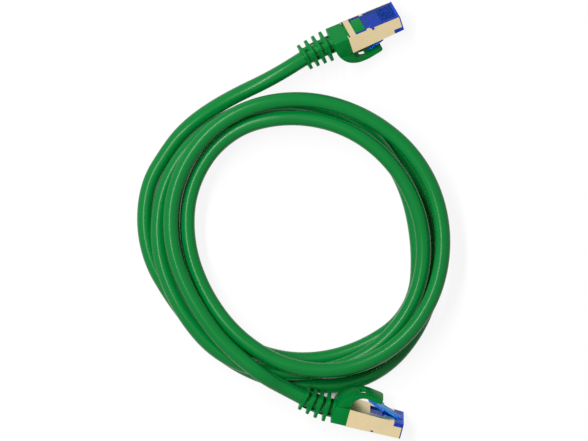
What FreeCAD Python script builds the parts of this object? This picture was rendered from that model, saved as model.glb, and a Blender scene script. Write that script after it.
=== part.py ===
import FreeCAD, Part
import math
import os

# Ethernet patch cable: a round shielded cord laid in four loose loops, with a
# modular plug, its snagless boot and its latch cover at each end.
# Millimetres, +Z up, table at Z = 0. The origin lies on the table, midway
# between the two plugs.

Vector = FreeCAD.Vector
Rotation = FreeCAD.Rotation
Placement = FreeCAD.Placement

# Cord
CORD_D = 5.9
BRAID_D = 5.0
BRAID_WALL = 0.18
PAIR_D = 1.85
FOIL_WALL = 0.04
WIRE_D = 0.88
COPPER_D = 0.40

# Plug, in its own frame: X towards the nose, Y across, Z towards the latch,
# with X = 0 at the front face of the boot's block
PLUG_WIDTH = 11.68
PLUG_LENGTH = 21.46
CONTACT_SIDE = 3.25
LATCH_SIDE_NOSE = 2.93
LATCH_SIDE_REAR = 4.05
SHEET = 0.3
INNER_HALF = PLUG_WIDTH / 2 - SHEET
FIT = 0.05

# Shield
NOSE_OVERHANG = 0.45
SHIELD_FRONT = PLUG_LENGTH - NOSE_OVERHANG
CORNER_NOTCH_LENGTH = 3.3
CORNER_NOTCH_HEIGHT = 1.6
COLLAR_REAR = 0.96
COLLAR_LENGTH = 2.3
BARREL_LENGTH = 4.4
BARREL_WALL = 0.25
BARREL_GAP = 0.01
BARREL_D = BRAID_D + 2 * BARREL_GAP
FOLDED_TAB_X = 8.46
FOLDED_TAB_LENGTH = 1.4
FOLDED_TAB_REACH = 0.9
EDGE_NOTCH_X = 10.2
EDGE_NOTCH_LENGTH = 1.0
EDGE_NOTCH_HEIGHT = 0.8

# Contacts and wire row, measured back from the nose
CONTACT_COUNT = 8
CONTACT_PITCH = 1.016
CONTACT_THICK = 0.35
CONTACT_SLOT = 0.47
CONTACT_LENGTH = 6.0
CONTACT_SETBACK = 1.06
CONTACT_REAR = PLUG_LENGTH - CONTACT_SETBACK - CONTACT_LENGTH
CONTACT_RECESS = 0.5
CONTACT_TIP = 0.1
CONTACT_YS = [CONTACT_PITCH * (i - (CONTACT_COUNT - 1) / 2) for i in range(CONTACT_COUNT)]
LOAD_BAR_LENGTH = 9.9
LOAD_BAR_SETBACK = 0.96
LOAD_BAR_FRONT = PLUG_LENGTH - LOAD_BAR_SETBACK
LOAD_BAR_REAR = LOAD_BAR_FRONT - LOAD_BAR_LENGTH
LOAD_BAR_HEIGHT = 1.9
NOSE_WALL = 0.7
CAVITY_WIDTH = 9.8
CAVITY_FLOOR = 1.95
CAVITY_ROOF = 2.4
ROOF_WALL = 0.4
WIRES_OPEN_X = 3.4
WIRES_IN_ROW_X = 7.9

# Latch, measured back from its pivot at the nose
LATCH_PIVOT_SETBACK = 1.16
LATCH_PIVOT_X = PLUG_LENGTH - LATCH_PIVOT_SETBACK
LATCH_PIVOT_Z = 2.75
LATCH_BEAD_R = 0.55
LATCH_THICK = 0.9
LATCH_RISE_DEG = 20.5
LATCH_LENGTH = 14.0
LATCH_TAIL_X = LATCH_PIVOT_X - LATCH_LENGTH
LATCH_TAPER_X = LATCH_PIVOT_X - 10.3
LATCH_SHOULDER_X = LATCH_PIVOT_X - 7.3
LATCH_STEM_WIDTH = 3.2
LATCH_SHOULDER_WIDTH = 6.0
LATCH_TAIL_WIDTH = 4.2
RECESS_GAP = 0.35
RECESS_FLOOR = 2.05
RECESS_LENGTH = 5.0

# Boot
BOOT_AXIS_Z = 0.5
BOOT_BORE_D = 6.1
BLOCK_LENGTH = 6.0
BLOCK_ROUND = 0.6
RIB_COUNT = 4
RIB_PITCH = 3.05
RIB_THICK = 1.15
FIRST_RIB_GAP = 1.95
FIRST_RIB = (10.4, 9.0)
LAST_RIB = (9.0, 7.9)
RIB_ROUND = 1.5
CORE_D = 7.2
WINDOW_WIDTH = 3.4
WINDOW_LENGTH = 1.3
WINDOW_TURN_DEG = 45.0
TAIL_LENGTH = FIRST_RIB_GAP + (RIB_COUNT - 1) * RIB_PITCH + RIB_THICK
TONGUE_WIDTH = 8.5
TONGUE_THICK = 0.8
TONGUE_WINDOW_REAR = 3.96
TONGUE_FRONT = 7.46
JACKET_END = 5.0

# Latch cover: an arch over the latch's tail, flush with the boot's block. It
# turns on a round bar of the block.
COVER_PIVOT_X = -2.8
COVER_PIVOT_RISE = 0.3
COVER_PIVOT_Z = LATCH_SIDE_REAR + COVER_PIVOT_RISE
COVER_BAR_R = 0.9
COVER_CHEEK = 1.2
COVER_SEAT_GAP = 0.15
COVER_TRAVEL_DEG = 10.0
COVER_TOP = 10.6
COVER_ARCH_R = 11.0
COVER_ARCH_FOOT_Z = 1.9
COVER_INNER_X = 0.1
COVER_INNER_R = 4.7
COVER_TAB_SLOPE_DEG = 9.0
COVER_TAB_THICK = 1.5
COVER_END_X = 11.7
COVER_TAPER_X = (-3.5, 4.0)
COVER_CREST_WIDTH = 8.4
COVER_TAB_WIDTH = 7.6
COVER_SIDE_ROUND = 8.0
COVER_TIP_ROUND = 1.4
COVER_HOLE = (2.3, 3.6)
COVER_HOLE_X = 3.6

# How the plugs lie: boot face on the table plan, heading, nose-down tilt, roll
# about the plug's axis, and the bend of the boot's tail in plan
PLUG_A = {"x": -1.60, "y": 70.245, "heading": 22.3, "tilt": 4.75, "roll": 127.35, "tail_bend": -7.5}
PLUG_B = {"x": -1.01, "y": -73.985, "heading": -12.8, "tilt": 5.0, "roll": -67.0, "tail_bend": 14.5}

# Coil: a station every quarter turn from START_ANGLE, as radius, height of the
# cord's underside, degrees that the cord points outward, degrees that it climbs
COIL_X = -22.015
COIL_Y = -8.515
START_ANGLE = 150.0
STATION_STEP = 90.0
LEAST_GAP = 0.4
COIL_STATIONS = [
    (60.8, 0.0, 3.0, 0.0),
    (49.9, 0.0, 7.5, 0.0),
    (57.3, 0.0, -10.5, 0.0),
    (53.1, 0.0, -7.5, 0.0),
    (44.8, 0.0, -3.5, 0.0),
    (42.7, 0.0, 1.0, 0.0),
    (49.5, 1.15, -3.5, 2.5),
    (51.3, 6.35, 10.5, 1.5),
    (51.3, 4.75, -5.0, 1.5),
    (49.7, 6.55, -2.0, -2.0),
    (51.4, 7.35, -3.5, 2.5),
    (48.4, 12.15, -1.0, -2.0),
    (44.2, 7.75, -14.5, -0.5),
    (41.5, 10.65, 14.0, 5.0),
    (57.1, 11.95, 1.5, -1.5),
    (55.6, 12.65, -2.5, 1.5),
    (50.2, 12.65, -8.5, -1.0),
    (47.9, 13.25, 9.5, 0.0),
]

# Free leads: the first and last runs follow the boot's tail and the coil's
# end, and the points between them are chosen by hand
ARC_SHARE = 0.45
LEAD_A_FIRST_RUN = 13.0
LEAD_A_POINTS = [(-46.21, 48.545, 8.8), (-58.21, 41.545, 4.8)]
LEAD_A_LAST_RUN = 9.5
LEAD_B_FIRST_RUN = 7.8
LEAD_B_POINTS = [(-31.71, -61.455, 14.5)]
LEAD_B_LAST_RUN = 6.5

# Wire pairs: where each pair lies round the cable's axis, across and up, and
# its two places in the row, counted from zero
PAIR_OFFSET = 1.31
PAIR_SIDES = {"orange": (-1, 0), "green": (0, 1), "blue": (0, -1), "brown": (1, 0)}
PAIR_PINS = {"orange": (0, 1), "green": (2, 5), "blue": (3, 4), "brown": (6, 7)}

# How far a cutting shape stands past the piece that it cuts
MARGIN = 1.0


def box(x0, x1, y0, y1, z0, z1):
    """A block between two corners."""
    return Part.makeBox(x1 - x0, y1 - y0, z1 - z0, Vector(x0, y0, z0))


def side_prism(points, half_width):
    """A side outline in X and Z, drawn out equally to both sides in Y."""
    corners = [Vector(x, -half_width, z) for x, z in points]
    face = Part.Face(Part.makePolygon(corners + corners[:1]))
    return face.extrude(Vector(0, 2 * half_width, 0))


def plan_prism(points, z0, z1):
    """A plan outline in X and Y, drawn up from z0 to z1."""
    corners = [Vector(x, y, z0) for x, y in points]
    face = Part.Face(Part.makePolygon(corners + corners[:1]))
    return face.extrude(Vector(0, 0, z1 - z0))


def bar_y(x, z, radius, half_width):
    """A round bar across the plug."""
    return Part.makeCylinder(radius, 2 * half_width, Vector(x, -half_width, z), Vector(0, 1, 0))


def bar_x(x0, x1, y, z, radius):
    """A round bar along the plug."""
    return Part.makeCylinder(radius, x1 - x0, Vector(x0, y, z), Vector(1, 0, 0))


def long_edges(block):
    """A block's straight edges along X."""
    return [e for e in block.Edges if abs(e.tangentAt(e.FirstParameter).x) > 0.9]


def rounded_block(x0, x1, half_y, half_z, rounding, middle_z):
    """A block along X with its four long edges rounded."""
    block = box(x0, x1, -half_y, half_y, middle_z - half_z, middle_z + half_z)
    return block.makeFillet(rounding, long_edges(block))


def unit(vector):
    """The same direction with length one."""
    return vector / vector.Length


def latch_face_z(x):
    """Height of the plug's latch face, which rises to the rear."""
    return LATCH_SIDE_NOSE + (LATCH_SIDE_REAR - LATCH_SIDE_NOSE) * (PLUG_LENGTH - x) / PLUG_LENGTH


def tapered_body(x0, x1, half_width, inset):
    """The plug's tapered section between two stations, inset from its outer faces on the latch side."""
    outline = [
        (x0, -CONTACT_SIDE),
        (x1, -CONTACT_SIDE),
        (x1, latch_face_z(x1) - inset),
        (x0, latch_face_z(x0) - inset),
    ]
    return side_prism(outline, half_width)


def rounded_route(points):
    """Edges of straight runs joined by tangent arcs, and the arcs' radii."""
    edges = []
    radii = []
    run_start = points[0]
    for before, corner, after in zip(points, points[1:], points[2:]):
        run_in = corner - before
        run_out = after - corner
        cut = ARC_SHARE * min(run_in.Length, run_out.Length)
        half_turn = run_in.getAngle(run_out) / 2
        radius = cut / math.tan(half_turn)
        arc_start = corner - unit(run_in) * cut
        arc_end = corner + unit(run_out) * cut
        inward = unit(arc_start + arc_end - corner * 2)
        middle = corner + inward * (radius / math.cos(half_turn) - radius)
        edges.append(Part.LineSegment(run_start, arc_start).toShape())
        edges.append(Part.Arc(arc_start, middle, arc_end).toShape())
        radii.append(radius)
        run_start = arc_end
    edges.append(Part.LineSegment(run_start, points[-1]).toShape())
    return edges, radii


def tube(edges, diameter):
    """A solid round tube along a path of edges."""
    path = Part.Wire(edges)
    first = edges[0]
    start = first.valueAt(first.FirstParameter)
    direction = first.tangentAt(first.FirstParameter)
    section = Part.Wire(Part.makeCircle(diameter / 2, start, direction))
    return path.makePipeShell([section], True, False)


def tail_turn(tail_bend, distance):
    """Angle turned by the boot's tail at a distance behind its block."""
    return math.radians(tail_bend) * distance / TAIL_LENGTH


def tail_point(pose, distance):
    """Point on the boot's bent centre line, in the plug's frame."""
    turn = tail_turn(pose["tail_bend"], distance)
    radius = TAIL_LENGTH / math.radians(pose["tail_bend"])
    back = radius * math.sin(turn)
    aside = radius * (1 - math.cos(turn))
    side = level_side(pose)
    return Vector(-BLOCK_LENGTH - back, 0, BOOT_AXIS_Z) + side * aside


def tail_direction(pose, distance):
    """Direction of the boot's bent centre line, pointing away from the plug."""
    turn = tail_turn(pose["tail_bend"], distance)
    return Vector(-math.cos(turn), 0, 0) + level_side(pose) * math.sin(turn)


def level_side(pose):
    """The plug-frame direction that is level and to the left of the heading."""
    roll = math.radians(pose["roll"])
    return Vector(0, math.cos(roll), -math.sin(roll))


def upward(pose):
    """The plug-frame direction that is upward, square to the plug's axis."""
    roll = math.radians(pose["roll"])
    return Vector(0, math.sin(roll), math.cos(roll))


def tail_placement(pose, distance):
    """Carries a section drawn on the straight axis to its place on the bent tail."""
    turn = math.degrees(tail_turn(pose["tail_bend"], distance))
    turned = Rotation(upward(pose), -turn)
    straight_point = Vector(-BLOCK_LENGTH - distance, 0, BOOT_AXIS_Z)
    return Placement(tail_point(pose, distance) - turned.multVec(straight_point), turned)


def tail_edges(pose, distance_start, distance_end):
    """The bent centre line between two distances behind the block, as one arc."""
    middle = (distance_start + distance_end) / 2
    stops = [tail_point(pose, d) for d in (distance_start, middle, distance_end)]
    return Part.Arc(*stops).toShape()


def make_contacts():
    """Eight gold blades, each in its slot."""
    blades = []
    for y in CONTACT_YS:
        blade = box(
            CONTACT_REAR, CONTACT_REAR + CONTACT_LENGTH,
            y - CONTACT_THICK / 2, y + CONTACT_THICK / 2,
            -CONTACT_SIDE + CONTACT_RECESS, -CONTACT_TIP,
        )
        blades.append(blade)
    return Part.makeCompound(blades)


def contact_slots():
    """The slots that the blades are pressed through, from the contact face to the wires."""
    slots = []
    for y in CONTACT_YS:
        slot = box(
            CONTACT_REAR - FIT, CONTACT_REAR + CONTACT_LENGTH + FIT,
            y - CONTACT_SLOT / 2, y + CONTACT_SLOT / 2,
            -CONTACT_SIDE - MARGIN, 0.0,
        )
        slots.append(slot)
    return Part.makeCompound(slots)


def latch_recess():
    """Space over the latch's travel in the housing's latch side and the shield."""
    top = LATCH_SIDE_REAR + MARGIN
    stem_half = LATCH_STEM_WIDTH / 2 + RECESS_GAP
    wide_half = LATCH_SHOULDER_WIDTH / 2 + RECESS_GAP
    stem = box(LATCH_SHOULDER_X, LATCH_PIVOT_X, -stem_half, stem_half, RECESS_FLOOR, top)
    wide = box(
        LATCH_SHOULDER_X - RECESS_LENGTH, LATCH_SHOULDER_X + RECESS_GAP,
        -wide_half, wide_half, CAVITY_ROOF + ROOF_WALL, top,
    )
    return stem.fuse(wide)


def latch_socket():
    """Round seat of the latch's root in the housing's nose."""
    half = LATCH_STEM_WIDTH / 2 + RECESS_GAP
    return bar_y(LATCH_PIVOT_X, LATCH_PIVOT_Z, LATCH_BEAD_R + FIT, half)


def make_housing():
    """Clear blue body that holds the contacts, the load bar and the wire ends."""
    rear = SHEET
    body = tapered_body(rear, PLUG_LENGTH, INNER_HALF, SHEET)
    nose = tapered_body(SHIELD_FRONT, PLUG_LENGTH, PLUG_WIDTH / 2, 0)
    notch_x = SHIELD_FRONT - CORNER_NOTCH_LENGTH
    notch_z = LATCH_SIDE_NOSE - CORNER_NOTCH_HEIGHT
    above_notch = box(
        notch_x, PLUG_LENGTH, -PLUG_WIDTH / 2, PLUG_WIDTH / 2, notch_z, LATCH_SIDE_REAR + MARGIN,
    )
    corner = tapered_body(notch_x, PLUG_LENGTH, PLUG_WIDTH / 2, 0).common(above_notch)
    housing = body.fuse([nose, corner])
    half = CAVITY_WIDTH / 2
    wire_room = box(rear - MARGIN, LOAD_BAR_REAR, -half, half, -CAVITY_FLOOR, CAVITY_ROOF)
    bar_half = LOAD_BAR_HEIGHT / 2 + FIT
    bar_room = box(LOAD_BAR_REAR - FIT, LOAD_BAR_FRONT + FIT, -half, half, -bar_half, bar_half)
    tongue_half = TONGUE_WIDTH / 2 + FIT
    tongue_room = box(
        rear - MARGIN, TONGUE_FRONT + FIT, -tongue_half, tongue_half,
        -CONTACT_SIDE - MARGIN, -CONTACT_SIDE + TONGUE_THICK + FIT,
    )
    cuts = [wire_room, bar_room, tongue_room, contact_slots(), latch_recess(), latch_socket()]
    housing = housing.cut(cuts)
    return housing.cut(make_shield()).removeSplitter()


def make_shield():
    """Gold sheet round three sides, with its collar, folded tabs and crimp barrel."""
    outer = tapered_body(0, SHIELD_FRONT, PLUG_WIDTH / 2, 0)
    inner = tapered_body(-MARGIN, SHIELD_FRONT + MARGIN, INNER_HALF, SHEET)
    below = box(
        -MARGIN, SHIELD_FRONT + MARGIN, -INNER_HALF, INNER_HALF,
        -CONTACT_SIDE - MARGIN, -CONTACT_SIDE + SHEET,
    )
    shield = outer.cut([inner, below])
    sheet_top = -CONTACT_SIDE + SHEET
    overlap = SHEET / 2
    collar = box(
        COLLAR_REAR, COLLAR_REAR + COLLAR_LENGTH, -INNER_HALF - overlap, INNER_HALF + overlap,
        -CONTACT_SIDE, sheet_top,
    )
    extras = [collar]
    for side in (-1, 1):
        edge_in = side * (INNER_HALF - FOLDED_TAB_REACH)
        edge_out = side * (INNER_HALF + overlap)
        tab = box(
            FOLDED_TAB_X - FOLDED_TAB_LENGTH / 2, FOLDED_TAB_X + FOLDED_TAB_LENGTH / 2,
            min(edge_in, edge_out), max(edge_in, edge_out), -CONTACT_SIDE, sheet_top,
        )
        extras.append(tab)
    tongue_half = TONGUE_WIDTH / 2 + FIT
    flange_bottom = -CONTACT_SIDE + TONGUE_THICK + FIT
    flange = box(
        0, SHEET, -INNER_HALF - overlap, INNER_HALF + overlap,
        -CONTACT_SIDE, LATCH_SIDE_REAR - overlap,
    )
    doorway = box(-MARGIN, MARGIN, -tongue_half, tongue_half, -CONTACT_SIDE - MARGIN, flange_bottom)
    barrel = bar_x(-BARREL_LENGTH, SHEET, 0, BOOT_AXIS_Z, BARREL_D / 2 + BARREL_WALL)
    bore = bar_x(-BARREL_LENGTH - MARGIN, 2 * SHEET, 0, BOOT_AXIS_Z, BARREL_D / 2)
    shield = shield.fuse(extras + [flange.cut(doorway), barrel]).cut(bore)
    notch_x = SHIELD_FRONT - CORNER_NOTCH_LENGTH
    notch_z = LATCH_SIDE_NOSE - CORNER_NOTCH_HEIGHT
    corner_notch = box(
        notch_x, SHIELD_FRONT + MARGIN, -PLUG_WIDTH, PLUG_WIDTH, notch_z, LATCH_SIDE_REAR + MARGIN,
    )
    edge_notch = box(
        EDGE_NOTCH_X - EDGE_NOTCH_LENGTH / 2, EDGE_NOTCH_X + EDGE_NOTCH_LENGTH / 2,
        -PLUG_WIDTH, PLUG_WIDTH, -CONTACT_SIDE - MARGIN, -CONTACT_SIDE + EDGE_NOTCH_HEIGHT,
    )
    shield = shield.cut([corner_notch, edge_notch, latch_recess()])
    return shield.removeSplitter()


def make_load_bar():
    """Clear comb that keeps the eight wires in a row under the contacts."""
    half = CAVITY_WIDTH / 2 - FIT
    bar = box(LOAD_BAR_REAR, LOAD_BAR_FRONT, -half, half, -LOAD_BAR_HEIGHT / 2, LOAD_BAR_HEIGHT / 2)
    bores = []
    for y in CONTACT_YS:
        bores.append(bar_x(LOAD_BAR_REAR - MARGIN, LOAD_BAR_FRONT - NOSE_WALL, y, 0, WIRE_D / 2 + FIT / 2))
    return bar.cut(bores).cut(contact_slots())


def wire_routes(colour):
    """Routes of one pair's two wires, from the cable to their places in the row."""
    across, rise = PAIR_SIDES[colour]
    height = BOOT_AXIS_Z + rise * PAIR_OFFSET
    routes = []
    for side, pin in zip((-1, 1), PAIR_PINS[colour]):
        y = across * PAIR_OFFSET + side * WIRE_D / 2
        points = [
            Vector(-JACKET_END, y, height),
            Vector(WIRES_OPEN_X, y, height),
            Vector(WIRES_IN_ROW_X, CONTACT_YS[pin], 0),
            Vector(LOAD_BAR_FRONT - NOSE_WALL - FIT, CONTACT_YS[pin], 0),
        ]
        edges, _ = rounded_route(points)
        routes.append(edges)
    return routes


def make_wires(colour):
    """One twisted pair's two insulated wires, opened out to the load bar."""
    wires = []
    for edges in wire_routes(colour):
        wires.append(tube(edges, WIRE_D).cut(tube(edges, COPPER_D)).cut(make_contacts()))
    return Part.makeCompound(wires)


def make_wire_cores():
    """The eight copper conductors."""
    cores = []
    for colour in PAIR_PINS:
        for edges in wire_routes(colour):
            cores.append(tube(edges, COPPER_D).cut(make_contacts()))
    return Part.makeCompound(cores)


def make_pair_foils():
    """A foil sleeve round each pair, cut back inside the housing."""
    sleeves = []
    for across, rise in PAIR_SIDES.values():
        y = across * PAIR_OFFSET
        z = BOOT_AXIS_Z + rise * PAIR_OFFSET
        outer = bar_x(-JACKET_END, SHEET, y, z, PAIR_D / 2)
        inner = bar_x(-JACKET_END - MARGIN, MARGIN, y, z, PAIR_D / 2 - FOIL_WALL)
        sleeves.append(outer.cut(inner))
    return Part.makeCompound(sleeves)


def make_braid():
    """The cord's braid, gripped by the shield's crimp barrel."""
    outer = bar_x(-JACKET_END, 0, 0, BOOT_AXIS_Z, BRAID_D / 2)
    inner = bar_x(-JACKET_END - MARGIN, MARGIN, 0, BOOT_AXIS_Z, BRAID_D / 2 - BRAID_WALL)
    return outer.cut(inner)


def latch_rise_z(x):
    """Height of the latch's middle at rest."""
    return LATCH_PIVOT_Z + (LATCH_PIVOT_X - x) * math.tan(math.radians(LATCH_RISE_DEG))


def make_latch():
    """Sprung lever that rises from the nose to the rear."""
    half_z = LATCH_THICK / 2 / math.cos(math.radians(LATCH_RISE_DEG))
    lever = side_prism(
        [
            (LATCH_TAIL_X, latch_rise_z(LATCH_TAIL_X) - half_z),
            (LATCH_PIVOT_X, LATCH_PIVOT_Z - half_z),
            (LATCH_PIVOT_X, LATCH_PIVOT_Z + half_z),
            (LATCH_TAIL_X, latch_rise_z(LATCH_TAIL_X) + half_z),
        ],
        LATCH_SHOULDER_WIDTH,
    )
    tail = LATCH_TAIL_WIDTH / 2
    shoulder = LATCH_SHOULDER_WIDTH / 2
    stem = LATCH_STEM_WIDTH / 2
    half_plan = [
        (LATCH_TAIL_X, tail),
        (LATCH_TAPER_X, shoulder),
        (LATCH_SHOULDER_X, shoulder),
        (LATCH_SHOULDER_X, stem),
        (LATCH_PIVOT_X, stem),
    ]
    plan = half_plan + [(x, -y) for x, y in reversed(half_plan)]
    lever = lever.common(plan_prism(plan, 0, 2 * LATCH_SIDE_REAR))
    bead = bar_y(LATCH_PIVOT_X, LATCH_PIVOT_Z, LATCH_BEAD_R, stem)
    return lever.fuse(bead).removeSplitter()


def make_tongue():
    """Boot's tongue, which locks in the housing's window."""
    half = TONGUE_WIDTH / 2
    top = -CONTACT_SIDE + TONGUE_THICK
    stem = box(-SHEET, TONGUE_WINDOW_REAR, -half, half, -CONTACT_SIDE + SHEET + FIT, top)
    key = box(TONGUE_WINDOW_REAR, TONGUE_FRONT, -half, half, -CONTACT_SIDE, top)
    return stem.fuse(key)


def arch_centre():
    """Middle of the arch's outer curve, in X and Z, which springs from the block's rear face."""
    z = COVER_TOP - COVER_ARCH_R
    x = -BLOCK_LENGTH + math.sqrt(COVER_ARCH_R ** 2 - (COVER_ARCH_FOOT_Z - z) ** 2)
    return x, z


def make_block():
    """Boot's block, rounded along the contact side and cut to the arch's curve at the rear."""
    half = PLUG_WIDTH / 2
    block = box(-BLOCK_LENGTH, 0, -half, half, -CONTACT_SIDE, LATCH_SIDE_REAR)
    low_edges = [e for e in long_edges(block) if e.CenterOfMass.z < 0]
    block = block.makeFillet(BLOCK_ROUND, low_edges)
    x, z = arch_centre()
    low_part = box(-BLOCK_LENGTH, 0, -half, half, -CONTACT_SIDE, COVER_ARCH_FOOT_Z)
    return block.common(bar_y(x, z, COVER_ARCH_R, half).fuse(low_part))


def tail_windows(middle, turn, place):
    """Four windows round the tail's core in one gap, as two crossing slots."""
    windows = []
    for angle in (turn, turn + 90):
        slot = box(
            -BLOCK_LENGTH - middle - WINDOW_LENGTH / 2, -BLOCK_LENGTH - middle + WINDOW_LENGTH / 2,
            -WINDOW_WIDTH / 2, WINDOW_WIDTH / 2, BOOT_AXIS_Z - CORE_D, BOOT_AXIS_Z + CORE_D,
        )
        slot.rotate(Vector(0, 0, BOOT_AXIS_Z), Vector(1, 0, 0), angle)
        slot.Placement = place.multiply(slot.Placement)
        windows.append(slot)
    return windows


def make_boot(pose):
    """Green snagless boot: block, tongue, four ribs on a windowed round core."""
    bar_half = PLUG_WIDTH / 2 - COVER_CHEEK
    pieces = [make_tongue(), bar_y(COVER_PIVOT_X, COVER_PIVOT_Z, COVER_BAR_R, bar_half)]
    windows = []
    gap_near = 0
    for i in range(RIB_COUNT):
        share = i / (RIB_COUNT - 1)
        half_y = (FIRST_RIB[0] + (LAST_RIB[0] - FIRST_RIB[0]) * share) / 2
        half_z = (FIRST_RIB[1] + (LAST_RIB[1] - FIRST_RIB[1]) * share) / 2
        near = FIRST_RIB_GAP + i * RIB_PITCH
        far = near + RIB_THICK
        rib = rounded_block(
            -BLOCK_LENGTH - far, -BLOCK_LENGTH - near, half_y, half_z, RIB_ROUND, BOOT_AXIS_Z,
        )
        rib.Placement = tail_placement(pose, (near + far) / 2)
        overlap = RIB_THICK / 2
        core = bar_x(
            -BLOCK_LENGTH - near - overlap, -BLOCK_LENGTH - gap_near + overlap,
            0, BOOT_AXIS_Z, CORE_D / 2,
        )
        middle = (gap_near + near) / 2
        place = tail_placement(pose, middle)
        core.Placement = place.multiply(core.Placement)
        pieces += [rib, core]
        windows += tail_windows(middle, WINDOW_TURN_DEG * (i % 2), place)
        gap_near = far
    boot = make_block().fuse(pieces)
    bore_line = Part.LineSegment(
        Vector(0, 0, BOOT_AXIS_Z), Vector(-BLOCK_LENGTH, 0, BOOT_AXIS_Z),
    ).toShape()
    exit_point = tail_point(pose, TAIL_LENGTH)
    exit_way = tail_direction(pose, TAIL_LENGTH) * MARGIN
    exit_line = Part.LineSegment(exit_point, exit_point + exit_way).toShape()
    bore = tube([bore_line, tail_edges(pose, 0, TAIL_LENGTH), exit_line], BOOT_BORE_D)
    return boot.cut([bore] + windows).removeSplitter()


def cover_outline():
    """Side outline of the latch cover: arch, finger tab, inner curve and foot."""
    x, z = arch_centre()
    slope = math.radians(COVER_TAB_SLOPE_DEG)
    foot_z = LATCH_SIDE_REAR + COVER_SEAT_GAP
    outward = Vector(math.sin(slope), 0, math.cos(slope))
    along = Vector(math.cos(slope), 0, -math.sin(slope))

    def on_arch(angle):
        return Vector(x + COVER_ARCH_R * math.sin(angle), 0, z + COVER_ARCH_R * math.cos(angle))

    foot_angle = -math.acos((foot_z - z) / COVER_ARCH_R)
    rear_foot = on_arch(foot_angle)
    crest_end = on_arch(slope)
    tip = crest_end + along * ((COVER_END_X - crest_end.x) / along.x)
    tip_under = tip - outward * COVER_TAB_THICK
    inner_top_x = COVER_INNER_X + COVER_INNER_R * (1 + outward.x)
    inner_top = tip_under - along * ((tip_under.x - inner_top_x) / along.x)
    inner_centre = inner_top - outward * COVER_INNER_R

    foot_middle = Vector(COVER_PIVOT_X, 0, foot_z)
    travel = math.radians(COVER_TRAVEL_DEG)
    relief = Vector(math.cos(travel), 0, math.sin(travel))
    to_centre = inner_centre - foot_middle
    abreast = to_centre.dot(relief)
    reach = abreast - math.sqrt(COVER_INNER_R ** 2 - to_centre.Length ** 2 + abreast ** 2)
    front_foot = foot_middle + relief * reach
    inner_middle = inner_centre + unit(inner_top + front_foot - inner_centre * 2) * COVER_INNER_R
    return Part.Wire([
        Part.Arc(rear_foot, on_arch((foot_angle + slope) / 2), crest_end).toShape(),
        Part.LineSegment(crest_end, tip).toShape(),
        Part.LineSegment(tip, tip_under).toShape(),
        Part.LineSegment(tip_under, inner_top).toShape(),
        Part.Arc(inner_top, inner_middle, front_foot).toShape(),
        Part.LineSegment(front_foot, foot_middle).toShape(),
        Part.LineSegment(foot_middle, rear_foot).toShape(),
    ])


def cover_plan():
    """Plan of the latch cover: as wide as the block at its root, narrower over the tab."""
    root = PLUG_WIDTH / 2
    crest = COVER_CREST_WIDTH / 2
    tab = COVER_TAB_WIDTH / 2
    taper_start, taper_end = COVER_TAPER_X
    half_plan = [(-BLOCK_LENGTH, root), (taper_start, root), (taper_end, crest), (COVER_END_X, tab)]
    plan = half_plan + [(x, -y) for x, y in reversed(half_plan)]
    prism = plan_prism(plan, 0, COVER_TOP + MARGIN)
    for rounding, x0, x1 in (
        (COVER_SIDE_ROUND, taper_start, taper_end),
        (COVER_TIP_ROUND, COVER_END_X, COVER_END_X),
    ):
        upright = [e for e in prism.Edges if abs(e.tangentAt(e.FirstParameter).z) > 0.9]
        corners = [e for e in upright if x0 - FIT < e.CenterOfMass.x < x1 + FIT]
        prism = prism.makeFillet(rounding, corners)
    return prism


def make_latch_cover():
    """Arch over the latch's tail with a finger tab, in one rubbery piece."""
    half = PLUG_WIDTH / 2
    arch = Part.Face(cover_outline()).extrude(Vector(0, PLUG_WIDTH, 0))
    arch.translate(Vector(0, -half, 0))
    groove = bar_y(COVER_PIVOT_X, COVER_PIVOT_Z, COVER_BAR_R + FIT, half - COVER_CHEEK + FIT)
    length, width = COVER_HOLE
    hole = box(
        COVER_HOLE_X - length / 2, COVER_HOLE_X + length / 2, -width / 2, width / 2,
        LATCH_SIDE_REAR + COVER_INNER_R / 2, COVER_TOP + MARGIN,
    )
    return arch.common(cover_plan()).cut([groove, hole]).removeSplitter()


def plug_placement(pose, height):
    """Where a plug lies, with its boot face's axis at the given height."""
    heading = Rotation(Vector(0, 0, 1), pose["heading"])
    tilt = Rotation(Vector(0, 1, 0), pose["tilt"])
    roll = Rotation(Vector(1, 0, 0), pose["roll"])
    turned = heading.multiply(tilt).multiply(roll)
    return Placement(Vector(pose["x"], pose["y"], height), turned)


def make_plug(pose):
    """Every piece of one plug, in the plug's frame."""
    pieces = {
        "housing": make_housing(),
        "latch": make_latch(),
        "shield": make_shield(),
        "contacts": make_contacts(),
        "load_bar": make_load_bar(),
        "wire_cores": make_wire_cores(),
        "pair_foils": make_pair_foils(),
        "braid": make_braid(),
        "boot": make_boot(pose),
        "latch_cover": make_latch_cover(),
    }
    for colour in PAIR_PINS:
        pieces["wires_" + colour] = make_wires(colour)
    return pieces


def lie_on_table(pieces, pose):
    """The plug's placement with its lowest point on the table."""
    laid = Part.makeCompound(list(pieces.values()))
    laid.Placement = plug_placement(pose, 0)
    return plug_placement(pose, -laid.optimalBoundingBox(True, False).ZMin)


def coil_station(index):
    """Point and direction of the cord at one coil station."""
    radius, underside, outward, climb = COIL_STATIONS[index]
    angle = math.radians(START_ANGLE + STATION_STEP * index)
    radial = Vector(math.cos(angle), math.sin(angle), 0)
    along = Vector(-math.sin(angle), math.cos(angle), 0)
    level = along * math.cos(math.radians(outward)) + radial * math.sin(math.radians(outward))
    rise = math.radians(climb)
    direction = level * math.cos(rise) + Vector(0, 0, math.sin(rise))
    return Vector(COIL_X, COIL_Y, underside + CORD_D / 2) + radial * radius, direction


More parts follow.
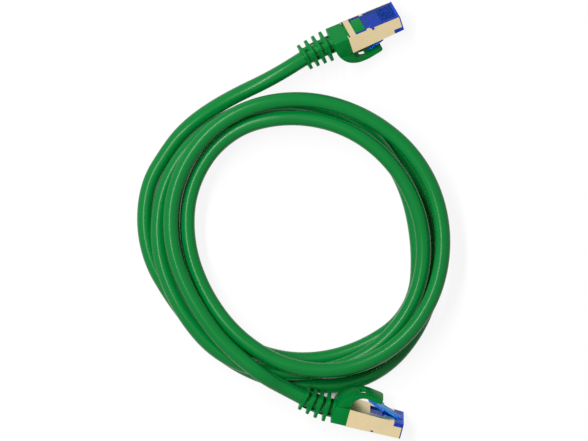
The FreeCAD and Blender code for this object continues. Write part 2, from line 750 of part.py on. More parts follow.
def arc_within(start, control, end):
    """The arc that leaves start towards control and reaches end from control."""
    middle = (start + end) / 2
    cosine = (end - start).Length / (2 * (control - start).Length)
    crown = middle + (control - middle) * (cosine / (1 + cosine))
    return Part.Arc(start, crown, end)


def biarc(p0, t0, p1, t1):
    """Two tangent arcs from one station to the next."""
    chord = p1 - p0
    both = t0 + t1
    factor = 2 * (1 - t0.dot(t1))
    reach = (-chord.dot(both) + math.sqrt(chord.dot(both) ** 2 + factor * chord.dot(chord))) / factor
    joint = (p0 + p1 + (t0 - t1) * reach) / 2
    return [arc_within(p0, p0 + t0 * reach, joint), arc_within(joint, p1 - t1 * reach, p1)]


def coil_edges():
    """The coil's centre line, with one straight diameter at each end."""
    stations = [coil_station(i) for i in range(len(COIL_STATIONS))]
    first, first_way = stations[0]
    last, last_way = stations[-1]
    edges = [Part.LineSegment(first - first_way * CORD_D, first).toShape()]
    for (p0, t0), (p1, t1) in zip(stations, stations[1:]):
        edges += [arc.toShape() for arc in biarc(p0, t0, p1, t1)]
    edges.append(Part.LineSegment(last, last + last_way * CORD_D).toShape())
    return edges


def least_gap(edges, diameter):
    """Least gap of a coiled tube to itself, measured on points of its centre line."""
    spacing = 0.8
    near_range = 60.0
    points = []
    for edge in edges:
        points += edge.discretize(max(2, int(edge.Length / spacing)))[:-1]
    stride = int(near_range / spacing)
    least = near_range
    for i, point in enumerate(points):
        for other in points[i + stride:]:
            least = min(least, point.distanceToPoint(other))
    return least - diameter


def report_tube(name, solid, edges, diameter):
    """Print a tube's length and how its volume compares with section times length."""
    length = sum(edge.Length for edge in edges)
    section = math.pi * diameter ** 2 / 4
    print(name, "length", round(length, 1), "volume ratio", round(solid.Volume / (section * length), 4))


def boot_cord_edges(pose, placement):
    """The cord's centre line inside the boot, from the jacket's end to the boot's tail."""
    inside = Part.LineSegment(
        Vector(-JACKET_END, 0, BOOT_AXIS_Z), Vector(-BLOCK_LENGTH, 0, BOOT_AXIS_Z),
    ).toShape()
    edges = [inside, tail_edges(pose, 0, TAIL_LENGTH)]
    for edge in edges:
        edge.Placement = placement
    return edges


def make_lead(name, pose, placement, first_run, points, last_run, coil_end, coil_way):
    """One free lead: inside its boot, out of the tail, and on to the coil's end."""
    tail = placement.multVec(tail_point(pose, TAIL_LENGTH))
    way = placement.Rotation.multVec(tail_direction(pose, TAIL_LENGTH))
    route = [tail, tail + way * first_run]
    route += [Vector(*point) for point in points]
    route += [coil_end + coil_way * last_run, coil_end]
    edges, radii = rounded_route(route)
    inside = boot_cord_edges(pose, placement)
    lead = tube(inside + edges, CORD_D)
    report_tube(name, lead, inside + edges, CORD_D)
    print(name, "radii", [round(r, 1) for r in radii], "runs",
          [round((q - p).Length, 1) for p, q in zip(route, route[1:])])
    print(name, "points", [tuple(round(c, 2) for c in p) for p in route])
    return lead


def export(name, shape):
    """Write one node's STEP file."""
    shape.exportStep("parts/" + name + ".step")


def main():
    os.makedirs("parts", exist_ok=True)
    edges = coil_edges()
    coil = tube(edges, CORD_D)
    report_tube("cord_coil", coil, edges, CORD_D)
    gap = least_gap(edges, CORD_D)
    print("cord_coil least gap", round(gap, 3), "wanted over", LEAST_GAP)
    export("cord_coil", coil)
    start = edges[0].valueAt(edges[0].FirstParameter)
    start_way = edges[0].tangentAt(edges[0].FirstParameter)
    end = edges[-1].valueAt(edges[-1].LastParameter)
    end_way = edges[-1].tangentAt(edges[-1].LastParameter)
    leads = {
        "a": (PLUG_A, LEAD_A_FIRST_RUN, LEAD_A_POINTS, LEAD_A_LAST_RUN, start, start_way * -1),
        "b": (PLUG_B, LEAD_B_FIRST_RUN, LEAD_B_POINTS, LEAD_B_LAST_RUN, end, end_way),
    }
    for letter, (pose, first_run, points, last_run, coil_end, coil_way) in leads.items():
        pieces = make_plug(pose)
        placement = lie_on_table(pieces, pose)
        for name, shape in pieces.items():
            shape.Placement = placement.multiply(shape.Placement)
            export(name + "_" + letter, shape)
        name = "cord_lead_" + letter
        lead = make_lead(name, pose, placement, first_run, points, last_run, coil_end, coil_way)
        export(name, lead)
        room = Part.makeCompound(list(pieces.values())).optimalBoundingBox(True, False)
        limits = (room.XMin, room.XMax, room.YMin, room.YMax, room.ZMin, room.ZMax)
        print("plug", letter, "height", round(placement.Base.z, 3), "box", [round(v, 2) for v in limits])
        latch_pivot = placement.multVec(Vector(LATCH_PIVOT_X, 0, LATCH_PIVOT_Z))
        cover_pivot = placement.multVec(Vector(COVER_PIVOT_X, 0, COVER_PIVOT_Z))
        across = placement.Rotation.multVec(Vector(0, 1, 0))
        nose = placement.multVec(Vector(PLUG_LENGTH, 0, 0))
        forward = placement.Rotation.multVec(Vector(1, 0, 0))
        print("plug", letter, "latch pivot", latch_pivot, "cover pivot", cover_pivot)
        print("plug", letter, "axis", across, "nose", nose, "forward", forward)


main()
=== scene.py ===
"""Ethernet patch cable: the looks of the cord and its two plugs, on a pale table."""
import math

import bpy
from bpy.props import FloatProperty, FloatVectorProperty, IntProperty, PointerProperty
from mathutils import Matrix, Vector


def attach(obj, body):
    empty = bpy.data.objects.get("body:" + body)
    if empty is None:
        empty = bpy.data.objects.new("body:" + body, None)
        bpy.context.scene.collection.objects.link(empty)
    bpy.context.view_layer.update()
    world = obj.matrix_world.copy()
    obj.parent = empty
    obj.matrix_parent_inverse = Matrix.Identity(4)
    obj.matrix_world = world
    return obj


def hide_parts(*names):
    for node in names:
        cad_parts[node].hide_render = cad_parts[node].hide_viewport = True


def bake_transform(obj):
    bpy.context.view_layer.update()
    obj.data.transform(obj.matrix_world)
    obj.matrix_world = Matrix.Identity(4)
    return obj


bl_info = {
    "name": "Ethernet patch cable",
    "version": (1, 0, 0),
    "blender": (4, 5, 0),
    "location": "View3D > Sidebar > Patch Cable",
    "description": "Dresses a shielded patch cord with its plugs, boots and latch covers",
    "category": "Object",
}

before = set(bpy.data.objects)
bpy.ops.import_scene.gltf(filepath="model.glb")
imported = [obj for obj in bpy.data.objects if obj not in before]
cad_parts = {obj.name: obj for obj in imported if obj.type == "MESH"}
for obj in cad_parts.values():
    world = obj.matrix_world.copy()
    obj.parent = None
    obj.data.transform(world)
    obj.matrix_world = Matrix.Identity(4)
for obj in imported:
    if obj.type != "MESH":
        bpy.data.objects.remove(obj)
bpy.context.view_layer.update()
bpy.ops.object.select_all(action="DESELECT")

ENDS = ("a", "b")
WHITE = (1.0, 1.0, 1.0, 1.0)

# The photograph's frame on the table, in metres: its middle and its width
VIEW_MIDDLE = (-0.02162, -0.00021)
VIEW_WIDTH = 0.2264

# The camera: its height and the nearest that it sees, in metres, and its sensor in millimetres
CAMERA_HEIGHT = 3.0
CAMERA_NEAR = 0.01
SENSOR_WIDTH = 36.0

# The key light: its place, and its length up the picture and its width, as a strip
KEY_PLACE = (-0.50, 0.40, 1.25)
KEY_STRIP = (1.10, 0.12)

# The table: its own colour and roughness, the strength of its white glow, and how much
# of what is seen of it in the open is that glow
TABLE_GREY = (0.60, 0.60, 0.60, 1.0)
TABLE_ROUGHNESS = 0.9
TABLE_GLOW = 1.12
TABLE_GLOW_SHARE = 0.80

# Painted shade in the cord's narrow gaps: how near the cord has to be for the table's glow to fade, and
# how open the table is to the sky where the painted shade is full and where there is none
PAINTED_SHADE_REACH = 0.008
PAINTED_SHADE_FULL = 0.20
PAINTED_SHADE_NONE = 0.40

# The coil: a station every twelfth of a turn, three to a row, as radius and height of
# the cord's underside. The first and the last only steer the curve.
COIL_CENTRE = (-0.022015, -0.008515)
START_ANGLE = math.radians(120.0)
STATION_STEP = math.radians(30.0)
COIL_STATIONS = [
    (0.0610, 0.0),
    (0.0604, 0.0), (0.0564, 0.0), (0.0499, 0.0),
    (0.0510, 0.0), (0.0543, 0.0), (0.0595, 0.0),
    (0.0577, 0.0), (0.0543, 0.0), (0.0541, 0.0),
    (0.0530, 0.0), (0.0490, 0.0), (0.0479, 0.0),
    (0.0449, 0.0), (0.0435, 0.0), (0.0428, 0.0),
    (0.0436, 0.0), (0.0451, 0.0), (0.0476, 0.0003),
    (0.0516, 0.0012), (0.0475, 0.0028), (0.0480, 0.0049),
    (0.0513, 0.0064), (0.0538, 0.0061), (0.0538, 0.0050),
    (0.0539, 0.0048), (0.0516, 0.0057), (0.0497, 0.0066),
    (0.0510, 0.0064), (0.0500, 0.0058), (0.0514, 0.0063),
    (0.0514, 0.0074), (0.0500, 0.0093), (0.0484, 0.0116),
    (0.0478, 0.0122), (0.0476, 0.0107), (0.0479, 0.0088),
    (0.0442, 0.0078), (0.0400, 0.0080), (0.0385, 0.0090),
    (0.0414, 0.0107), (0.0476, 0.0121), (0.0539, 0.0125),
    (0.0569, 0.0121), (0.0574, 0.0118), (0.0570, 0.0120),
    (0.0553, 0.0127), (0.0546, 0.0131), (0.0535, 0.0130),
    (0.0503, 0.0128), (0.0463, 0.0127), (0.0439, 0.0130),
    (0.0475, 0.0132),
    (0.0570, 0.0132),
]

# The free leads, from inside each boot to the coil
LEAD_A = [
    (-0.00608, 0.06798, 0.01023),
    (-0.01295, 0.06516, 0.01084),
    (-0.02909, 0.05480, 0.01239),
    (-0.04559, 0.04709, 0.00880),
    (-0.05716, 0.04009, 0.00480),
    (-0.06493, 0.03347, 0.00295),
    (-0.07048, 0.02613, 0.00295),
]
LEAD_B = [
    (-0.00575, -0.07244, 0.00912),
    (-0.01299, -0.07079, 0.00977),
    (-0.02506, -0.06447, 0.01092),
    (-0.03340, -0.05990, 0.01630),
    (-0.04220, -0.05290, 0.01615),
]

# How fine the cord's mesh is: steps along each span of its curve, and bevel resolution round it
CORD_STEPS = 8
CORD_ROUNDNESS = 6

# The moulded pieces: the distance under which points merge, the angle under which faces merge,
# the angle over which an edge is rounded, the faces across that rounding, and the angle under
# which an edge looks smooth
MERGE_DISTANCE = 0.000001
FLAT_ANGLE = math.radians(1.0)
ROUNDED_ANGLE = math.radians(35.0)
ROUNDING_FACES = 2
SMOOTH_ANGLE = math.radians(40.0)

# The surface grain: how broken up its patches and its fine grain are, and a noise's mean
PATCH_DETAIL = 3.0
GRAIN_DETAIL = 2.0
NOISE_MEAN = 0.5

# How much of the light goes through the surface of the clear blue pieces
HOUSING_CLEARNESS = 0.72
LATCH_CLEARNESS = 0.80

# Colours of the small and the inner pieces, linear
CLEAR_BAR_COLOUR = (0.55, 0.80, 0.92)
CONTACT_COLOUR = (0.90, 0.62, 0.22)
COPPER_COLOUR = (0.80, 0.36, 0.20)
FOIL_COLOUR = (0.78, 0.79, 0.80)
BRAID_COLOUR = (0.62, 0.62, 0.60)
INSULATION_COLOURS = {
    "orange": (0.85, 0.23, 0.02),
    "green": (0.03, 0.32, 0.08),
    "blue": (0.02, 0.10, 0.60),
    "brown": (0.17, 0.06, 0.025),
}


class CordSettings(bpy.types.PropertyGroup):
    """The cord's sizes and colour"""

    diameter: FloatProperty(
        name="Diameter", description="Outer diameter of the jacket",
        default=0.0059, min=0.003, max=0.01, unit="LENGTH",
    )
    length: FloatProperty(
        name="Length", description="Length of the jacket from boot to boot",
        default=1.48, min=0.5, max=10.0, unit="LENGTH",
    )
    points_per_station: IntProperty(
        name="Points per station", description="Control points from one station of the coil to the next",
        default=2, min=1, max=6,
    )
    colour: FloatVectorProperty(
        name="Jacket colour", description="Colour of the jacket, linear",
        default=(0.0, 0.23, 0.038), subtype="COLOR", min=0.0, max=1.0,
    )


class PlugSettings(bpy.types.PropertyGroup):
    """The finish of the plugs, boots and latch covers"""

    boot_colour: FloatVectorProperty(
        name="Boot colour", description="Colour of the boots and latch covers, linear",
        default=(0.0, 0.24, 0.040), subtype="COLOR", min=0.0, max=1.0,
    )
    edge_radius: FloatProperty(
        name="Moulded edge", description="Radius on the edges of the boots and latch covers",
        default=0.00022, min=0.0, max=0.0005, unit="LENGTH",
    )
    clear_colour: FloatVectorProperty(
        name="Housing colour", description="Colour of the clear housings' surface, linear",
        default=(0.0, 0.13, 0.86), subtype="COLOR", min=0.0, max=1.0,
    )
    latch_colour: FloatVectorProperty(
        name="Latch colour", description="Colour of the thin clear latches' surface, linear",
        default=(0.02, 0.42, 0.98), subtype="COLOR", min=0.0, max=1.0,
    )
    tint: FloatVectorProperty(
        name="Tint", description="Colour that the clear housings and latches let through, linear",
        default=(0.0, 0.59, 0.96), subtype="COLOR", min=0.0, max=1.0,
    )
    tint_density: FloatProperty(
        name="Tint density", description="How fast the tint takes light away, per metre",
        default=380.0, min=0.0, max=10000.0,
    )
    sheet_colour: FloatVectorProperty(
        name="Shield colour", description="Colour of the shields' plating, linear",
        default=(0.74, 0.60, 0.35), subtype="COLOR", min=0.0, max=1.0,
    )


class StageSettings(bpy.types.PropertyGroup):
    """The table and the lights"""

    table_size: FloatProperty(
        name="Table size", description="Side of the square table top",
        default=6.0, min=1.0, max=20.0, unit="LENGTH",
    )
    key_power: FloatProperty(
        name="Key light", description="Power of the lamp on the upper left",
        default=18.0, min=0.0, max=100.0, unit="POWER",
    )
    sky_strength: FloatProperty(
        name="Sky", description="Strength of the even light from all round",
        default=0.18, min=0.0, max=3.0,
    )


def settings(name):
    """The scene's settings of one kind."""
    return getattr(bpy.context.scene, name)


def make_group(name, inputs, outputs):
    """An empty shader node group with named sockets, and its two end nodes."""
    group = bpy.data.node_groups.new(name, "ShaderNodeTree")
    for label, kind, default in inputs:
        socket = group.interface.new_socket(label, in_out="INPUT", socket_type=kind)
        if default is not None:
            socket.default_value = default
    for label, kind in outputs:
        group.interface.new_socket(label, in_out="OUTPUT", socket_type=kind)
    return group, group.nodes.new("NodeGroupInput"), group.nodes.new("NodeGroupOutput")


def grain_group():
    """Mottled colour, uneven gloss and a fine grain, as on moulded or drawn plastic and sheet."""
    name = "Surface grain"
    if name in bpy.data.node_groups:
        return bpy.data.node_groups[name]
    group, taken, given = make_group(
        name,
        [
            ("Vector", "NodeSocketVector", None),
            ("Colour", "NodeSocketColor", WHITE),
            ("Shade depth", "NodeSocketFloat", 0.1),
            ("Patch scale", "NodeSocketFloat", 120.0),
            ("Grain scale", "NodeSocketFloat", 3000.0),
            ("Roughness", "NodeSocketFloat", 0.3),
            ("Roughness spread", "NodeSocketFloat", 0.08),
            ("Grain height", "NodeSocketFloat", 1.0),
        ],
        [
            ("Colour", "NodeSocketColor"),
            ("Roughness", "NodeSocketFloat"),
            ("Height", "NodeSocketFloat"),
        ],
    )
    links = group.links
    patches = group.nodes.new("ShaderNodeTexNoise")
    patches.inputs["Detail"].default_value = PATCH_DETAIL
    links.new(taken.outputs["Vector"], patches.inputs["Vector"])
    links.new(taken.outputs["Patch scale"], patches.inputs["Scale"])
    grain = group.nodes.new("ShaderNodeTexNoise")
    grain.inputs["Detail"].default_value = GRAIN_DETAIL
    links.new(taken.outputs["Vector"], grain.inputs["Vector"])
    links.new(taken.outputs["Grain scale"], grain.inputs["Scale"])

    centred = group.nodes.new("ShaderNodeMath")
    centred.operation = "SUBTRACT"
    centred.inputs[1].default_value = NOISE_MEAN
    links.new(patches.outputs["Fac"], centred.inputs[0])
    shade = group.nodes.new("ShaderNodeMath")
    shade.operation = "MULTIPLY_ADD"
    shade.inputs[2].default_value = 1.0
    links.new(centred.outputs[0], shade.inputs[0])
    links.new(taken.outputs["Shade depth"], shade.inputs[1])
    colour = group.nodes.new("ShaderNodeVectorMath")
    colour.operation = "SCALE"
    links.new(taken.outputs["Colour"], colour.inputs[0])
    links.new(shade.outputs[0], colour.inputs["Scale"])
    links.new(colour.outputs[0], given.inputs["Colour"])

    roughness = group.nodes.new("ShaderNodeMath")
    roughness.operation = "MULTIPLY_ADD"
    links.new(centred.outputs[0], roughness.inputs[0])
    links.new(taken.outputs["Roughness spread"], roughness.inputs[1])
    links.new(taken.outputs["Roughness"], roughness.inputs[2])
    links.new(roughness.outputs[0], given.inputs["Roughness"])

    height = group.nodes.new("ShaderNodeMath")
    height.operation = "MULTIPLY"
    links.new(grain.outputs["Fac"], height.inputs[0])
    links.new(taken.outputs["Grain height"], height.inputs[1])
    links.new(height.outputs[0], given.inputs["Height"])
    return group


def finish(name, colour, sockets, grain, bump=0.2, depth=0.00002):
    """A material of one Principled shader, fed by the surface grain group."""
    material = bpy.data.materials.new(name)
    material.use_nodes = True
    tree = material.node_tree
    shader = tree.nodes["Principled BSDF"]
    for socket, value in sockets.items():
        shader.inputs[socket].default_value = value
    place = tree.nodes.new("ShaderNodeTexCoord")
    surface = tree.nodes.new("ShaderNodeGroup")
    surface.node_tree = grain_group()
    surface.inputs["Colour"].default_value = (*colour, 1.0)
    for socket, value in grain.items():
        surface.inputs[socket].default_value = value
    relief = tree.nodes.new("ShaderNodeBump")
    relief.inputs["Strength"].default_value = bump
    relief.inputs["Distance"].default_value = depth
    tree.links.new(place.outputs["Object"], surface.inputs["Vector"])
    tree.links.new(surface.outputs["Colour"], shader.inputs["Base Color"])
    tree.links.new(surface.outputs["Roughness"], shader.inputs["Roughness"])
    tree.links.new(surface.outputs["Height"], relief.inputs["Height"])
    tree.links.new(relief.outputs["Normal"], shader.inputs["Normal"])
    material.diffuse_color = (*colour, 1.0)
    return material


def jacket_material():
    """Glossy drawn PVC."""
    return finish(
        "Glossy jacket", settings("cable_cord").colour,
        {"IOR": 1.5, "Specular IOR Level": 0.16},
        {
            "Shade depth": 0.12, "Patch scale": 90.0, "Grain scale": 1400.0,
            "Roughness": 0.24, "Roughness spread": 0.1,
        },
        bump=0.1,
    )


def boot_material():
    """Satin moulded rubber."""
    return finish(
        "Satin boot", settings("cable_plugs").boot_colour,
        {"IOR": 1.5, "Specular IOR Level": 0.10},
        {
            "Shade depth": 0.16, "Patch scale": 160.0, "Grain scale": 5200.0,
            "Roughness": 0.36, "Roughness spread": 0.12,
        },
        bump=0.35,
    )


def clear_material(name, colour, clearness):
    """Clear blue polycarbonate, darker the thicker it is."""
    plug = settings("cable_plugs")
    material = finish(
        name, colour,
        {"IOR": 1.3, "Transmission Weight": clearness, "Specular IOR Level": 0.15},
        {
            "Shade depth": 0.06, "Patch scale": 140.0, "Grain scale": 900.0,
            "Roughness": 0.04, "Roughness spread": 0.03,
        },
        bump=0.03,
    )
    tree = material.node_tree
    tint = tree.nodes.new("ShaderNodeVolumeAbsorption")
    tint.inputs["Color"].default_value = (*plug.tint, 1.0)
    tint.inputs["Density"].default_value = plug.tint_density
    tree.links.new(tint.outputs["Volume"], tree.nodes["Material Output"].inputs["Volume"])
    material.diffuse_color = (*plug.tint, 1.0)
    return material


def clear_bar_material():
    """Clear plastic, faintly blue."""
    return finish(
        "Clear bar plastic", CLEAR_BAR_COLOUR,
        {"IOR": 1.45, "Transmission Weight": 0.85},
        {
            "Shade depth": 0.1, "Patch scale": 200.0,
            "Roughness": 0.12, "Roughness spread": 0.05,
        },
        bump=0.05,
    )


def sheet_material():
    """Pale gold plated sheet with a fine grain."""
    return finish(
        "Gold plated sheet", settings("cable_plugs").sheet_colour,
        {"Metallic": 1.0},
        {
            "Shade depth": 0.16, "Patch scale": 260.0, "Grain scale": 2600.0,
            "Roughness": 0.27, "Roughness spread": 0.14,
        },
        bump=0.25,
    )


def contact_material():
    """Bright gold plating."""
    return finish(
        "Gold contacts", CONTACT_COLOUR,
        {"Metallic": 1.0},
        {
            "Shade depth": 0.15, "Patch scale": 400.0, "Grain scale": 6000.0,
            "Roughness": 0.22, "Roughness spread": 0.1,
        },
        bump=0.1,
    )


def copper_material():
    """Bare copper wire."""
    return finish(
        "Bare copper", COPPER_COLOUR,
        {"Metallic": 1.0},
        {
            "Shade depth": 0.2, "Patch scale": 500.0, "Grain scale": 6000.0,
            "Roughness": 0.3, "Roughness spread": 0.1,
        },
    )


def foil_material():
    """Crumpled aluminium foil."""
    return finish(
        "Pair foil", FOIL_COLOUR,
        {"Metallic": 1.0},
        {
            "Shade depth": 0.3, "Patch scale": 700.0, "Grain scale": 1800.0,
            "Roughness": 0.3, "Roughness spread": 0.2,
        },
        bump=0.8,
    )


def braid_material():
    """Tinned braid."""
    return finish(
        "Tinned braid", BRAID_COLOUR,
        {"Metallic": 1.0},
        {
            "Shade depth": 0.5, "Patch scale": 2600.0, "Grain scale": 3800.0,
            "Roughness": 0.42, "Roughness spread": 0.2,
        },
        bump=0.9, depth=0.00006,
    )


def insulation_material(colour_name):
    """Coloured insulation on one twisted pair."""
    return finish(
        "Insulation " + colour_name, INSULATION_COLOURS[colour_name],
        {"IOR": 1.5},
        {
            "Shade depth": 0.15, "Patch scale": 600.0, "Grain scale": 5000.0,
            "Roughness": 0.35, "Roughness spread": 0.08,
        },
    )


def dress(node, material):
    """Gives a carried-over node its material."""
    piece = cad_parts[node]
    piece.data.materials.clear()
    piece.data.materials.append(material)


def moulded_copy(node, name, edge_radius, material):
    """A piece in a node's place, of its shape, with its edges rounded as from a mould."""
    piece = bpy.data.objects.new(name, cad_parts[node].data.copy())
    bpy.context.scene.collection.objects.link(piece)
    bpy.ops.object.select_all(action="DESELECT")
    piece.select_set(True)
    bpy.context.view_layer.objects.active = piece
    bpy.ops.object.mode_set(mode="EDIT")
    bpy.ops.mesh.select_all(action="SELECT")
    bpy.ops.mesh.remove_doubles(threshold=MERGE_DISTANCE)
    bpy.ops.mesh.dissolve_limited(angle_limit=FLAT_ANGLE)
    bpy.ops.object.mode_set(mode="OBJECT")
    rounding = piece.modifiers.new("Rounding", "BEVEL")
    rounding.width = edge_radius
    rounding.segments = ROUNDING_FACES
    rounding.limit_method = "ANGLE"
    rounding.angle_limit = ROUNDED_ANGLE
    bpy.ops.object.modifier_apply(modifier=rounding.name)
    bpy.ops.object.shade_smooth_by_angle(angle=SMOOTH_ANGLE)
    piece.data.materials.clear()
    piece.data.materials.append(material)
    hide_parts(node)
    return piece


def eased(values, share):
    """The smooth course of a value between the middle two of four stations."""
    before, here, there, after = values
    lean = (there - before) / 2
    next_lean = (after - here) / 2
    return (
        here * (2 * share ** 3 - 3 * share ** 2 + 1)
        + lean * (share ** 3 - 2 * share ** 2 + share)
        + there * (3 * share ** 2 - 2 * share ** 3)
        + next_lean * (share ** 3 - share ** 2)
    )


def coil_points(diameter, per_station):
    """The coil's control points, set out so that the curve between them keeps the radius."""
    points = []
    spread = 1 / math.cos(STATION_STEP / per_station / 2)
    for index in range(1, len(COIL_STATIONS) - 2):
        radii, undersides = zip(*COIL_STATIONS[index - 1:index + 3])
        for step in range(per_station):
            share = (step + 0.5) / per_station
            radius = eased(radii, share) * spread
            angle = START_ANGLE + STATION_STEP * (index + share)
            across = COIL_CENTRE[0] + radius * math.cos(angle)
            along = COIL_CENTRE[1] + radius * math.sin(angle)
            points.append((across, along, eased(undersides, share) + diameter / 2))
    return points


def seen_rays(tree):
    """An output that is 1 for rays from the camera, gloss and clear plastic, and else 0."""
    rays = tree.nodes.new("ShaderNodeLightPath")
    shiny = tree.nodes.new("ShaderNodeMath")
    shiny.operation = "MAXIMUM"
    tree.links.new(rays.outputs["Is Glossy Ray"], shiny.inputs[0])
    tree.links.new(rays.outputs["Is Transmission Ray"], shiny.inputs[1])
    seen = tree.nodes.new("ShaderNodeMath")
    seen.operation = "MAXIMUM"
    tree.links.new(rays.outputs["Is Camera Ray"], seen.inputs[0])
    tree.links.new(shiny.outputs[0], seen.inputs[1])
    return seen.outputs[0]


def world_material():
    """Even pale light, white to the camera, in gloss and through clear plastic."""
    world = bpy.data.worlds.new("Pale room")
    world.use_nodes = True
    tree = world.node_tree
    light = tree.nodes["Background"]
    light.inputs["Color"].default_value = WHITE
    light.inputs["Strength"].default_value = settings("cable_stage").sky_strength
    white = tree.nodes.new("ShaderNodeBackground")
    white.inputs["Color"].default_value = WHITE
    white.inputs["Strength"].default_value = 1.0
    mix = tree.nodes.new("ShaderNodeMixShader")
    tree.links.new(seen_rays(tree), mix.inputs["Fac"])
    tree.links.new(light.outputs["Background"], mix.inputs[1])
    tree.links.new(white.outputs["Background"], mix.inputs[2])
    tree.links.new(mix.outputs["Shader"], tree.nodes["World Output"].inputs["Surface"])
    return world


def table_material():
    """White table top that keeps a pale shadow, and has painted shade in the cord's narrow gaps."""
    material = bpy.data.materials.new("White table")
    material.use_nodes = True
    tree = material.node_tree
    top = tree.nodes["Principled BSDF"]
    top.inputs["Base Color"].default_value = TABLE_GREY
    top.inputs["Roughness"].default_value = TABLE_ROUGHNESS
    top.inputs["Specular IOR Level"].default_value = 0.0
    glow = tree.nodes.new("ShaderNodeEmission")
    glow.inputs["Color"].default_value = WHITE
    glow.inputs["Strength"].default_value = TABLE_GLOW
    share = tree.nodes.new("ShaderNodeMath")
    share.operation = "MULTIPLY"
    share.inputs[1].default_value = TABLE_GLOW_SHARE
    tree.links.new(seen_rays(tree), share.inputs[0])
    # Painted shade: the glow fades where the cord hems the table in, so its narrow gaps go dark
    openness = tree.nodes.new("ShaderNodeAmbientOcclusion")
    openness.inputs["Distance"].default_value = PAINTED_SHADE_REACH
    gap = tree.nodes.new("ShaderNodeMapRange")
    gap.inputs["From Min"].default_value = PAINTED_SHADE_FULL
    gap.inputs["From Max"].default_value = PAINTED_SHADE_NONE
    tree.links.new(openness.outputs["AO"], gap.inputs["Value"])
    glowing = tree.nodes.new("ShaderNodeMath")
    glowing.operation = "MULTIPLY"
    tree.links.new(share.outputs["Value"], glowing.inputs[0])
    tree.links.new(gap.outputs["Result"], glowing.inputs[1])
    mix = tree.nodes.new("ShaderNodeMixShader")
    tree.links.new(glowing.outputs["Value"], mix.inputs["Fac"])
    tree.links.new(top.outputs["BSDF"], mix.inputs[1])
    tree.links.new(glow.outputs["Emission"], mix.inputs[2])
    tree.links.new(mix.outputs["Shader"], tree.nodes["Material Output"].inputs["Surface"])
    return material


def add_area_light(name, place, aim, strip, power):
    """Adds a strip lamp that faces a point."""
    bpy.ops.object.light_add(type="AREA", location=place)
    lamp = bpy.context.object
    lamp.name = name
    lamp.data.shape = "RECTANGLE"
    lamp.data.size, lamp.data.size_y = strip
    lamp.data.energy = power
    lamp.rotation_euler = (Vector(aim) - Vector(place)).to_track_quat("-Z", "Y").to_euler()


class CABLE_OT_stage(bpy.types.Operator):
    """Set the camera, the lamp, the room and the table"""

    bl_idname = "cable.stage"
    bl_label = "Stage"

    def execute(self, context):
        sizes = settings("cable_stage")
        bpy.ops.object.camera_add(location=(*VIEW_MIDDLE, CAMERA_HEIGHT), rotation=(0.0, 0.0, 0.0))
        camera = context.object
        camera.data.sensor_width = SENSOR_WIDTH
        camera.data.lens = SENSOR_WIDTH * CAMERA_HEIGHT / VIEW_WIDTH
        camera.data.clip_start = CAMERA_NEAR
        context.scene.camera = camera

        bpy.ops.mesh.primitive_plane_add(size=sizes.table_size, location=(0.0, 0.0, 0.0))
        table = context.object
        table.name = "table"
        table.data.materials.append(table_material())

        below = (VIEW_MIDDLE[0], KEY_PLACE[1], 0.0)
        add_area_light("key", KEY_PLACE, below, KEY_STRIP, sizes.key_power)
        context.scene.world = world_material()
        context.scene.view_settings.view_transform = "Standard"
        return {"FINISHED"}


class CABLE_OT_boots(bpy.types.Operator):
    """Mould the boots and the latch covers that bend out of them"""

    bl_idname = "cable.boots"
    bl_label = "Boots and latch covers"

    def execute(self, context):
        sizes = settings("cable_plugs")
        green = boot_material()
        for end in ENDS:
            boot = moulded_copy(
                "boot_" + end, "moulded_boot_" + end, sizes.edge_radius, green,
            )
            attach(boot, "root")
            cover = moulded_copy(
                "latch_cover_" + end, "moulded_cover_" + end, sizes.edge_radius, green,
            )
            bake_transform(cover)
        return {"FINISHED"}


class CABLE_OT_plugs(bpy.types.Operator):
    """Give the pieces of both plugs, and the wires in them, their finish"""

    bl_idname = "cable.plugs"
    bl_label = "Plugs"

    def execute(self, context):
        plug = settings("cable_plugs")
        housing_blue = clear_material("Clear blue housing", plug.clear_colour, HOUSING_CLEARNESS)
        latch_blue = clear_material("Clear blue latch", plug.latch_colour, LATCH_CLEARNESS)
        finishes = {
            "housing": (housing_blue, "clear_blue"),
            "latch": (latch_blue, "clear_blue"),
            "shield": (sheet_material(), "gold_sheet"),
            "contacts": (contact_material(), "gold_contact"),
            "load_bar": (clear_bar_material(), "clear_bar"),
            "wire_cores": (copper_material(), "copper"),
            "pair_foils": (foil_material(), "foil"),
            "braid": (braid_material(), "braid"),
        }
        for colour in INSULATION_COLOURS:
            finishes["wires_" + colour] = (insulation_material(colour), "insulation_" + colour)
        for end in ENDS:
            for kind, (material, slot) in finishes.items():
                dress(kind + "_" + end, material)
        return {"FINISHED"}


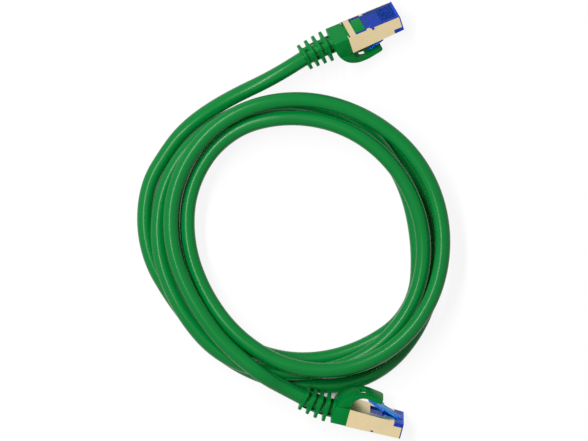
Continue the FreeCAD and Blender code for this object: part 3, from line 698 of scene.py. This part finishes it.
class CABLE_OT_cord(bpy.types.Operator):
    """Lay the cord from boot to boot"""

    bl_idname = "cable.cord"
    bl_label = "Cord"

    def execute(self, context):
        sizes = settings("cable_cord")
        points = LEAD_A + coil_points(sizes.diameter, sizes.points_per_station) + LEAD_B[::-1]
        line = bpy.data.curves.new("cord", "CURVE")
        line.dimensions = "3D"
        spline = line.splines.new("NURBS")
        spline.points.add(len(points) - 1)
        for point, place in zip(spline.points, points):
            point.co = (*place, 1.0)
        spline.order_u = 3
        spline.use_endpoint_u = True
        line.resolution_u = CORD_STEPS
        line.bevel_depth = sizes.diameter / 2
        line.bevel_resolution = CORD_ROUNDNESS
        line.use_fill_caps = True
        cord = bpy.data.objects.new("cord", line)
        context.scene.collection.objects.link(cord)
        line.materials.append(jacket_material())
        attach(cord, "root")
        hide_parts("cord_lead_a", "cord_coil", "cord_lead_b")
        return {"FINISHED"}


class CABLE_PT_panel(bpy.types.Panel):
    """Lists the cable's sizes and colours, and a button for each group of its pieces"""

    bl_idname = "CABLE_PT_panel"
    bl_label = "Patch Cable"
    bl_space_type = "VIEW_3D"
    bl_region_type = "UI"
    bl_category = "Patch Cable"

    def draw(self, context):
        layout = self.layout
        for group, kind in SETTING_GROUPS.items():
            for prop in kind.__annotations__:
                layout.prop(getattr(context.scene, group), prop)
        for operator in OPERATORS:
            layout.operator(operator.bl_idname)


SETTING_GROUPS = {"cable_cord": CordSettings, "cable_plugs": PlugSettings, "cable_stage": StageSettings}
OPERATORS = (CABLE_OT_stage, CABLE_OT_boots, CABLE_OT_plugs, CABLE_OT_cord)
CLASSES = (*SETTING_GROUPS.values(), *OPERATORS, CABLE_PT_panel)


def register():
    for cls in CLASSES:
        bpy.utils.register_class(cls)
    for group, kind in SETTING_GROUPS.items():
        setattr(bpy.types.Scene, group, PointerProperty(type=kind))


def unregister():
    for group in SETTING_GROUPS:
        delattr(bpy.types.Scene, group)
    for cls in reversed(CLASSES):
        bpy.utils.unregister_class(cls)


def main():
    register()
    bpy.ops.cable.stage()
    bpy.ops.cable.boots()
    bpy.ops.cable.plugs()
    bpy.ops.cable.cord()


if __name__ == "__main__":
    main()
